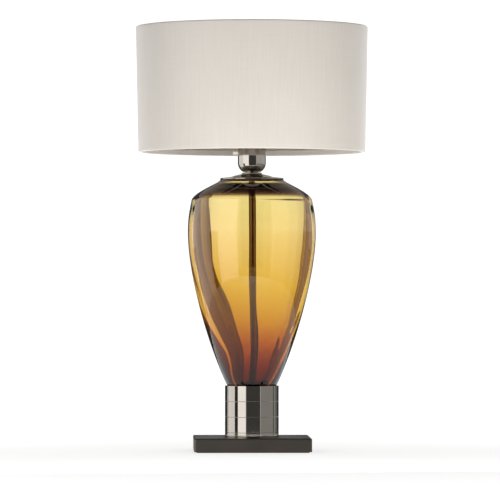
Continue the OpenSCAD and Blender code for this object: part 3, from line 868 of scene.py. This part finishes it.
cream_urea = plastic_finish("cream_urea", "f0e7d6", "e8dcc6", 0.3, soft=0.1)
rod_low, rod_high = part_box("switch_rod")
rod_r = rod_high.y / mm
rod_left = rod_low.x / mm
rod_right = rod_high.x / mm
rod_height = (rod_low.z + rod_high.z) / 2
rod_round = 1.4
rod_flat_r = 1.5
rod_corners = [(0, rod_left), (rod_r, rod_left), (rod_r, rod_right), (0, rod_right)]
rod_side = [(r, z) for r, z in eased(rod_corners, rod_round) if r > rod_flat_r]
rod_outline = [(0, rod_left)] + rod_side + [(0, rod_right)]
rod = turned("push_rod", rod_outline, cream_urea, around=48)
# The rod is turned upright and then laid along the cup's bore
for vertex in rod.data.vertices:
    x, y, z = vertex.co
    vertex.co = (z, y, rod_height - x)
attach(rod, "switch")
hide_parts("switch_rod")
repaint("switch_bridge", contact_brass)

# ---- Shade nut ----
# A cream urea ring with a grooved grip. It screws down the skirt's thread and clamps the
# shade's carrier ring against the flange.

nut_low, nut_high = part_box("shade_nut")
nut_r = nut_high.x / mm
nut_bore = 20.08
grip_depth = 0.5
grip_r = nut_r - grip_depth
nut_bottom = nut_low.z / mm
nut_top = nut_high.z / mm
grip_corners = [(nut_r, nut_bottom), (nut_r, nut_bottom + 1.5), (grip_r, nut_bottom + 2),
                (grip_r, nut_top - 0.8), (grip_r - 0.8, nut_top), (nut_bore, nut_top),
                (nut_bore, nut_bottom)]
nut_outline = eased(grip_corners)
grip_foot_z = nut_bottom + 1.9
grip_weights = [1.0 if r > grip_r - 0.6 and z > grip_foot_z else 0.0 for r, z in nut_outline]
shade_nut = turned(
    "grip_nut", nut_outline, cream_urea, around=240, weights=grip_weights,
    rib_depth=grip_depth * mm, rib_count=24)
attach(shade_nut, "shade_nut")
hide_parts("shade_nut")

# ---- Shade frame ----
# White enamelled steel: a washer that drops over the skirt, three arms welded to it, and
# a round wire ring at each rim.


def rods_tree():
    """Nodes that set equal rods round the upright axis, each from one point to another."""
    tree, given = node_group("rods_round_axis", (
        ("Start", "Vector"), ("End", "Vector"), ("Radius", "Float"), ("Count", "Int"),
        ("First turn", "Float"), ("Material", "Material")))
    line = add_node(tree, "GeometryNodeCurvePrimitiveLine", inputs={
        "Start": given["Start"], "End": given["End"]})
    section = add_node(tree, "GeometryNodeCurvePrimitiveCircle", inputs={
        "Resolution": 20, "Radius": given["Radius"]})
    rod = add_node(tree, "GeometryNodeCurveToMesh", inputs={
        "Curve": line.outputs[0], "Profile Curve": section.outputs[0], "Fill Caps": True})
    posts = add_node(tree, "GeometryNodeMeshLine", inputs={
        "Count": given["Count"], "Offset": (0, 0, 0)})
    index = add_node(tree, "GeometryNodeInputIndex").outputs[0]
    share = add_node(tree, "ShaderNodeMath", {"operation": "DIVIDE"}, {
        0: index, 1: given["Count"]})
    turn = add_node(tree, "ShaderNodeMath", {"operation": "MULTIPLY_ADD"}, {
        0: share.outputs[0], 1: 2 * math.pi, 2: given["First turn"]})
    facing = add_node(tree, "ShaderNodeCombineXYZ", inputs={"Z": turn.outputs[0]})
    placed = add_node(tree, "GeometryNodeInstanceOnPoints", inputs={
        "Points": posts.outputs[0], "Instance": rod.outputs[0], "Rotation": facing.outputs[0]})
    whole = add_node(tree, "GeometryNodeRealizeInstances", inputs={
        "Geometry": placed.outputs[0]})
    hand_out(tree, whole.outputs[0], given["Material"])
    return tree


def rods(name, start, end, radius, count, first_turn, material):
    """A ring of equal rods. Start and end are (radius, height) in millimetres."""
    piece = add_object(name, bpy.data.meshes.new(name))
    made = made_by_nodes(piece, rod_ring, **{
        "Start": (start[0] * mm, 0.0, start[1] * mm), "End": (end[0] * mm, 0.0, end[1] * mm),
        "Radius": radius * mm, "Count": count, "First turn": math.radians(first_turn),
        "Material": material})
    keep_sharp(made, 50)
    return made


rod_ring = rods_tree()
# Stoved enamel on wire: a white coat with a soft gloss that rounds off every edge.
white_enamel = plastic_finish("white_stoved_enamel", "f1eee8", "e8e4dc", 0.28, grain_mm=1.5)

ring_low, ring_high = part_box("carrier_ring")
carrier_r = ring_high.x / mm
carrier_bottom = ring_low.z / mm
carrier_top = ring_high.z / mm
carrier = turned(
    "carrier_washer",
    eased([(carrier_r, carrier_bottom), (carrier_r, carrier_top), (nut_bore, carrier_top),
           (nut_bore, carrier_bottom)], 0.4),
    white_enamel, around=96)
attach(carrier, "shade")
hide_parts("carrier_ring")

wire_low, wire_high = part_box("bottom_wire")
wire_r = (wire_high.z - wire_low.z) / 2 / mm
bottom_wire_path = wire_high.x / mm - wire_r
bottom_wire_z = wire_low.z / mm + wire_r
arm_r = 1.6
arms = rods(
    "carrier_arms_enamelled", (carrier_r - 0.4, (carrier_bottom + carrier_top) / 2),
    (bottom_wire_path - wire_r + 0.4, bottom_wire_z), arm_r, count=3, first_turn=90,
    material=white_enamel)
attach(arms, "shade")
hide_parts("carrier_arms")

for node in ("bottom_wire", "top_wire"):
    low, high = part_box(node)
    section = arc(
        high.x / mm - wire_r, low.z / mm + wire_r, wire_r, [22.5 * i for i in range(16)])
    wire = turned(node + "_enamelled", section, white_enamel, around=160)
    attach(wire, "shade")
    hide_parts(node)

# ---- Shade lining ----
# A strip of white styrene film laminated behind the cloth. It keeps the drum round and
# lets some light through.

cover_low, cover_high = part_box("shade_cover")
shade_bottom_z = cover_low.z / mm
shade_top_z = cover_high.z / mm
shade_top_r = cover_high.x / mm
shade_bottom_r = 198.5
cloth_t = 0.9
film_t = 0.6
film_gap = 0.1


def drum_r(z):
    """Outer radius of the drum at a height, in millimetres."""
    share = (z - shade_bottom_z) / (shade_top_z - shade_bottom_z)
    return shade_bottom_r + (shade_top_r - shade_bottom_r) * share


# Styrene film: milky white, smooth, and bright with the light that soaks through it.
styrene_film, tree = new_material("white_styrene_film")
tone = two_tones(tree, 25, "f6f2ea", "efe9de")[2]
shader = add_node(tree, "ShaderNodeBsdfPrincipled", inputs={
    "Base Color": tone, "Roughness": 0.45})
through = add_node(tree, "ShaderNodeBsdfTranslucent", inputs={"Color": linear("f3e6d0")})
both = add_node(tree, "ShaderNodeMixShader", inputs={
    "Fac": 0.35, 1: shader.outputs[0], 2: through.outputs[0]})
finish_material(tree, both)

film_bottom = shade_bottom_z + 1.2
film_top = shade_top_z - 1.2
film_in = cloth_t + film_gap
film_steps = 12
film_levels = [
    film_bottom + (film_top - film_bottom) * i / film_steps for i in range(film_steps + 1)]
film = turned(
    "shade_lining",
    [(drum_r(z) - film_in, z) for z in film_levels]
    + [(drum_r(z) - film_in - film_t, z) for z in reversed(film_levels)],
    styrene_film, around=192)
keep_sharp(film, 50)
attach(film, "shade")
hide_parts("shade_liner")

# ---- Shade cloth ----
# Cream satin with a slub, wrapped round the drum, lapped and glued at the back, and turned
# in over both wires to a narrow lip.

turn_in_w = 5.4
turn_in_h = 10
roll_r = 2.2
seam_w = 10
seam_rise = 0.5
seam_first_turn = 0.3


def cloth_path():
    """The cloth's outer line from the lip at the lower rim to the lip at the upper rim."""
    lip_bottom_r = shade_bottom_r - turn_in_w - cloth_t
    lip_top_r = shade_top_r - turn_in_w - cloth_t
    corners = [
        (lip_bottom_r, shade_bottom_z + turn_in_h), (lip_bottom_r, shade_bottom_z),
        (shade_bottom_r, shade_bottom_z), (shade_top_r, shade_top_z),
        (lip_top_r, shade_top_z), (lip_top_r, shade_top_z - turn_in_h)]
    points = [corners[0]]
    bend_steps = 4
    wall_steps = 40
    for i in range(1, 5):
        points += bend(corners[i - 1], corners[i], corners[i + 1], roll_r, bend_steps)
        if i == 2:
            wall_foot = points[-1][1]
            for k in range(1, wall_steps):
                z = wall_foot + (shade_top_z - roll_r - wall_foot) * k / wall_steps
                points.append((drum_r(z), z))
    return points + [corners[-1]]


def offset_inwards(points, distance):
    """The same line moved to its left by a distance."""
    moved = []
    for i, point in enumerate(points):
        before, after = points[max(i - 1, 0)], points[min(i + 1, len(points) - 1)]
        run = math.dist(before, after)
        moved.append((
            point[0] - distance * (after[1] - before[1]) / run,
            point[1] + distance * (after[0] - before[0]) / run))
    return moved


# Slub satin: cream, with long raised threads up the drum, a soft sheen where it turns
# away, and a weave drawn four times coarser than it is so that it shows at all.
slub_satin, tree = new_material("cream_slub_satin")
place, _, cloud_tone = two_tones(tree, 90, "f2efec", "ffffff")
up_stretch = add_node(tree, "ShaderNodeMapping", inputs={
    "Vector": place, "Scale": (1, 1, 0.035)})
slub = add_node(tree, "ShaderNodeTexNoise", inputs={
    "Vector": up_stretch.outputs["Vector"], "Scale": 1 / (3.2 * mm), "Detail": 5,
    "Roughness": 0.7})
cross_stretch = add_node(tree, "ShaderNodeMapping", inputs={
    "Vector": place, "Scale": (0.06, 0.06, 1)})
weft = add_node(tree, "ShaderNodeTexNoise", inputs={
    "Vector": cross_stretch.outputs["Vector"], "Scale": 1 / (1.6 * mm), "Detail": 2})
threads = add_node(tree, "ShaderNodeMix", {"data_type": "FLOAT"}, {
    "Factor": 0.25, 2: slub.outputs["Fac"], 3: weft.outputs["Fac"]})
spread = add_node(tree, "ShaderNodeMapRange", inputs={
    "Value": threads.outputs[0], "From Min": 0.3, "From Max": 0.7})
tone = add_node(tree, "ShaderNodeMix", {"data_type": "RGBA"}, {
    "Factor": spread.outputs["Result"], 6: linear("dad4cb"), 7: linear("e3ded7")})
clouded = add_node(tree, "ShaderNodeMix", {"data_type": "RGBA", "blend_type": "MULTIPLY"}, {
    "Factor": 0.5, 6: tone.outputs[2], 7: cloud_tone})
relief = add_node(tree, "ShaderNodeBump", inputs={
    "Height": threads.outputs[0], "Strength": 0.35, "Distance": 0.4 * mm})
shader = add_node(tree, "ShaderNodeBsdfPrincipled", inputs={
    "Base Color": clouded.outputs[2], "Roughness": 0.55, "Sheen Weight": 1.0,
    "Sheen Roughness": 0.3, "Normal": relief.outputs["Normal"]})
through = add_node(tree, "ShaderNodeBsdfTranslucent", inputs={
    "Color": linear("efe3d4"), "Normal": relief.outputs["Normal"]})
both = add_node(tree, "ShaderNodeMixShader", inputs={
    "Fac": 0.2, 1: shader.outputs[0], 2: through.outputs[0]})
finish_material(tree, both)

outer_line = cloth_path()
inner_line = offset_inwards(outer_line, cloth_t)
cloth = turned(
    "shade_cloth", outer_line + inner_line[::-1], slub_satin, around=360,
    weights=[1.0] * (2 * len(outer_line)), ripple_depth=0.35 * mm, ripple_size=35 * mm, seed=1.0)
# The lap at the back stands a little proud of the drum
for vertex in cloth.data.vertices:
    radius = math.hypot(vertex.co.x, vertex.co.y)
    along_seam = (math.pi / 2 - math.atan2(vertex.co.y, vertex.co.x)) * radius / mm
    if 0 <= along_seam < seam_w and vertex.co.y > 0:
        turn = math.pi * min(1, (along_seam + 1) / seam_w) / 2 + seam_first_turn
        lift = seam_rise * mm * math.sin(turn)
        vertex.co.x += vertex.co.x / radius * lift
        vertex.co.y += vertex.co.y / radius * lift
keep_sharp(cloth, 60)
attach(cloth, "shade")
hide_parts("shade_cover", "bottom_hem", "top_hem")

# ---- Bulb ----
# A clear filament lamp with a screw cap: nickelled brass cap, black glass insulator, a
# glass stem that holds four yellow LED sticks, and the leads that feed them.

bulb_nickel = metal_finish("nickelled_brass_cap", "c9c6bf", "a8a49c", 0.22, patch_mm=6)
black_vitrite = plastic_finish("black_vitrite", "1d1c1b", "121111", 0.12)
repaint("bulb_contact", bulb_nickel)
repaint("bulb_insulator", black_vitrite)

cap_box_low, cap_box_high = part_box("bulb_cap")
screw_foot = cap_box_low.z / mm
screw_top = cap_box_high.z / mm
screw_r = cap_box_high.x / mm
screw_depth = 0.55
screw_mid = screw_r - screw_depth
rise_count = int((screw_top - screw_foot - 5) / rise_step)
screw_rise = [screw_foot + 1.6 + rise_step * i for i in range(rise_count)]
screw_outline = (
    [(0, screw_foot), (screw_mid - 1.5, screw_foot), (screw_mid - 0.4, screw_foot + 0.6)]
    + [(screw_mid, z) for z in screw_rise]
    + [(screw_r - 0.2, screw_top - 2.4), (screw_r, screw_top - 2), (screw_r, screw_top - 0.3),
       (screw_r - 0.5, screw_top), (screw_mid - 1.2, screw_top - 0.6),
       (screw_mid - 1.2, screw_foot + 1.2), (0, screw_foot + 1.2)])
bulb_screw = turned(
    "bulb_screw_cap", screw_outline, bulb_nickel, around=72,
    weights=[0.0] * 3 + [1.0] * len(screw_rise) + [0.0] * 7,
    thread_depth=screw_depth * mm, thread_pitch=thread_pitch * mm)
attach(bulb_screw, "bulb")
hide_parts("bulb_cap")

# Clear soda glass: thin, colourless, seen mostly by its highlights.
clear_glass, tree = new_material("clear_bulb_glass")
tone = two_tones(tree, 20, "fdfdfb", "f6f7f3", detail=1)[2]
shader = add_node(tree, "ShaderNodeBsdfPrincipled", inputs={
    "Base Color": tone, "Roughness": 0.0, "IOR": 1.5, "Transmission Weight": 1})
finish_material(tree, shader)

globe_low, globe_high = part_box("bulb_globe")
globe_r = globe_high.x / mm
globe_top = globe_high.z / mm
globe_z = globe_top - globe_r
neck_r = 12.7
neck_z = globe_low.z / mm
glass_t = 0.8
join_turn = math.radians(-42)
join = (globe_r * math.cos(join_turn), globe_z + globe_r * math.sin(join_turn))
pull = (join[0] + 10 * math.sin(join_turn), join[1] - 10 * math.cos(join_turn))
globe_outside = (
    [(neck_r, neck_z)] + curve([(neck_r, neck_z + 7), (neck_r, neck_z + 19), pull, join], 16)
    + arc(0, globe_z, globe_r, range(-38, 87, 4)) + [(0, globe_top)])
globe_inside = [(max(r, 0), z) for r, z in offset_inwards(globe_outside, glass_t)]
globe_inside[-1] = (0, globe_top - glass_t)
globe = turned("bulb_glass_globe", globe_outside + globe_inside[::-1], clear_glass, around=96)
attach(globe, "bulb")
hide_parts("bulb_globe")
repaint("bulb_stem", clear_glass)

# Phosphor stick: opaque egg-yolk yellow with a slightly glassy coat.
phosphor = plastic_finish("yellow_phosphor", "e9b94e", "dca83c", 0.35, soft=0.2)
filament_low, filament_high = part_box("bulb_filament")
stick_foot = filament_low.z / mm + 0.3
stick_top = filament_high.z / mm - 0.3
sticks = rods("filament_sticks", (8, stick_foot), (6, stick_top), 0.95, 4, 45, phosphor)
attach(sticks, "bulb")
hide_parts("bulb_filament")
lead_r = 0.25
for name, start, end in (
        ("filament_leads", (2.6, stick_foot - 2), (8, stick_foot + 0.6)),
        ("filament_hooks", (0.4, stick_top - 1), (6.2, stick_top - 0.5))):
    wires = rods(name, start, end, lead_r, 4, 45, bulb_nickel)
    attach(wires, "bulb")
